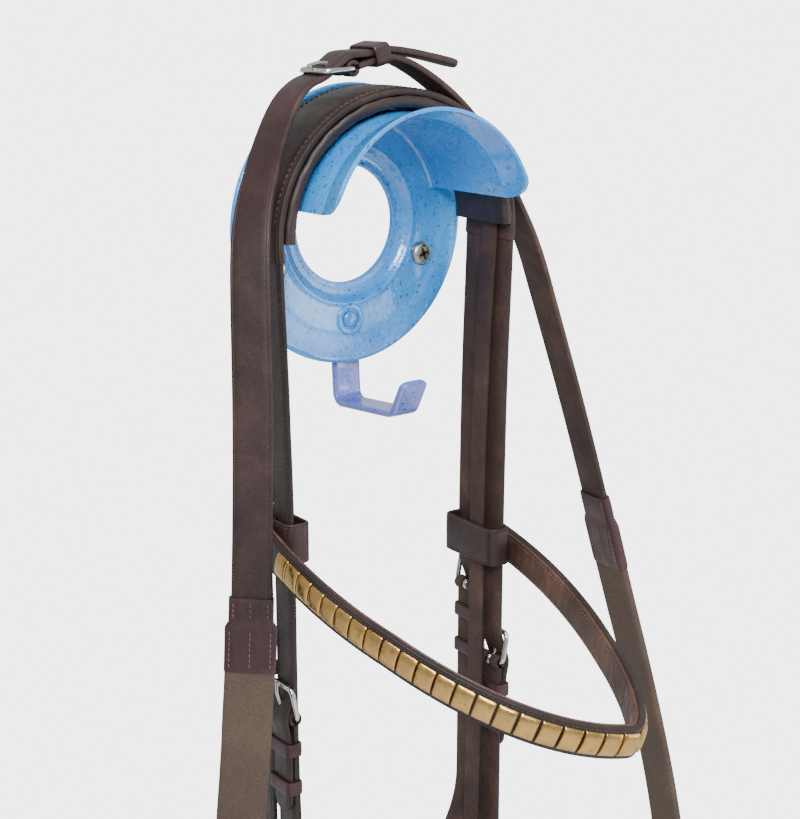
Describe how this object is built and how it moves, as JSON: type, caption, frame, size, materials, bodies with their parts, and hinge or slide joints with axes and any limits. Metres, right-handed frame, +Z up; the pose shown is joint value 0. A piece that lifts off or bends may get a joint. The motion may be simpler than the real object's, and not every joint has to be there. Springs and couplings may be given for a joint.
{
  "type": "snaffle bridle on wall bracket",
  "caption": "Leather snaffle bridle with jointed bit and rubber-grip reins, hung over the arch of a round enamelled wall bracket with a coat hook.",
  "frame": {"origin": "midpoint between the two wall screws, on the wall plane", "axes": "+Y into the wall, +Z up, front of the bracket faces -Y"},
  "size_m": [0.3787, 0.2218, 0.9093],
  "materials": {
    "blue_enamel": "gloss hammered enamel",
    "lilac_enamel": "gloss hammered enamel",
    "zinc_steel": "zinc plated",
    "brass": "polished",
    "buckle_steel": "polished",
    "bit_steel": "polished stainless",
    "grip_rubber": "pimpled matt",
    "lining_leather": "soft",
    "maroon_leather": "stitched",
    "brown_leather": "waxed"
  },
  "bodies": {
    "bracket": {"back_plate": "blue_enamel", "bridle_arch": "blue_enamel", "coat_hook": "lilac_enamel", "hook_rivet": "zinc_steel", "wall_screws": "zinc_steel"},
    "headstall": {"cheek_buckles": "buckle_steel", "cheekpiece_left": "brown_leather", "cheekpiece_right": "brown_leather", "chin_buckle": "buckle_steel", "chin_strap_left": "brown_leather", "chin_strap_right": "brown_leather", "crown_pad": "brown_leather", "headpiece": "brown_leather", "hook_studs": "brass", "nose_strap": "brown_leather", "noseband_headstrap": "brown_leather", "rein_buckle": "buckle_steel", "rein_keeper": "maroon_leather", "rein_left_end": "brown_leather", "rein_left_grip": "grip_rubber", "rein_left_sleeves": "maroon_leather", "rein_left_top": "brown_leather", "rein_right_end": "brown_leather", "rein_right_grip": "grip_rubber", "rein_right_sleeves": "maroon_leather", "rein_right_top": "brown_leather", "ring_end_keepers": "maroon_leather", "strap_keepers": "maroon_leather", "throat_buckles": "buckle_steel", "throat_strap": "brown_leather"},
    "browband": {"browband_strap": "brown_leather", "browband_lining": "lining_leather", "browband_clinchers": "brass", "browband_loops": "brown_leather"},
    "cheek_tongue_left": {"cheek_tongue_left": "buckle_steel"},
    "cheek_tongue_right": {"cheek_tongue_right": "buckle_steel"},
    "chin_tongue": {"chin_tongue": "buckle_steel"},
    "rein_tongue": {"rein_tongue": "buckle_steel"},
    "throat_tongue_left": {"throat_tongue_left": "buckle_steel"},
    "throat_tongue_right": {"throat_tongue_right": "buckle_steel"},
    "bit_ring_left": {"bit_ring_left": "bit_steel"},
    "bit_ring_right": {"bit_ring_right": "bit_steel"},
    "mouthpiece_left": {"mouthpiece_left": "bit_steel"},
    "mouthpiece_right": {"mouthpiece_right": "bit_steel"}
  },
  "joints": [
    {"name": "headstall_lift", "type": "slide", "parent": "bracket", "child": "headstall", "axis": [0, 0, 1], "range_m": [0, 0.06]},
    {"name": "browband_shift", "type": "slide", "parent": "headstall", "child": "browband", "axis": [0, 0, 1], "range_m": [0, 0.012]},
    {"name": "throat_tongue_right_hinge", "type": "hinge", "parent": "headstall", "child": "throat_tongue_right", "pos_m": [0.06397, -0.02474, -0.18], "axis": [0.0523, 0.9986, 0], "range_deg": [0, 30]},
    {"name": "cheek_tongue_right_hinge", "type": "hinge", "parent": "headstall", "child": "cheek_tongue_right", "pos_m": [0.06286, -0.04591, -0.216], "axis": [0.0523, 0.9986, 0], "range_deg": [0, 30]},
    {"name": "throat_tongue_left_hinge", "type": "hinge", "parent": "headstall", "child": "throat_tongue_left", "pos_m": [-0.06286, -0.01809, -0.18], "axis": [-0.0523, -0.9986, 0], "range_deg": [0, 30]},
    {"name": "cheek_tongue_left_hinge", "type": "hinge", "parent": "headstall", "child": "cheek_tongue_left", "pos_m": [-0.06397, -0.03926, -0.216], "axis": [-0.0523, -0.9986, 0], "range_deg": [0, 30]},
    {"name": "rein_tongue_hinge", "type": "hinge", "parent": "headstall", "child": "rein_tongue", "pos_m": [-0.02094, -0.0309, 0.09674], "axis": [0.0523, 0.9986, 0], "range_deg": [0, 30]},
    {"name": "chin_tongue_hinge", "type": "hinge", "parent": "headstall", "child": "chin_tongue", "pos_m": [-0.01694, -0.01128, -0.37222], "axis": [-0.0073, -0.139, 0.9903], "range_deg": [0, 30]},
    {"name": "bit_ring_left_spin", "type": "hinge", "parent": "headstall", "child": "bit_ring_left", "pos_m": [-0.06237, -0.03935, -0.44], "axis": [0.9986, -0.0523, 0], "continuous": true},
    {"name": "bit_ring_right_spin", "type": "hinge", "parent": "headstall", "child": "bit_ring_right", "pos_m": [0.06126, -0.04582, -0.44], "axis": [0.9986, -0.0523, 0], "continuous": true},
    {"name": "mouthpiece_right_swing", "type": "hinge", "parent": "headstall", "child": "mouthpiece_right", "pos_m": [0.05996, -0.07054, -0.46475], "axis": [0.037, 0.7061, -0.7071], "range_deg": [0, 5]},
    {"name": "mouthpiece_left_swing", "type": "hinge", "parent": "headstall", "child": "mouthpiece_left", "pos_m": [-0.06366, -0.06406, -0.46475], "axis": [0.037, 0.7061, -0.7071], "range_deg": [-5, 0]}
  ],
  "couplings": [
    {"joint": "mouthpiece_left_swing", "follows": "mouthpiece_right_swing", "ratio": -1}
  ]
}
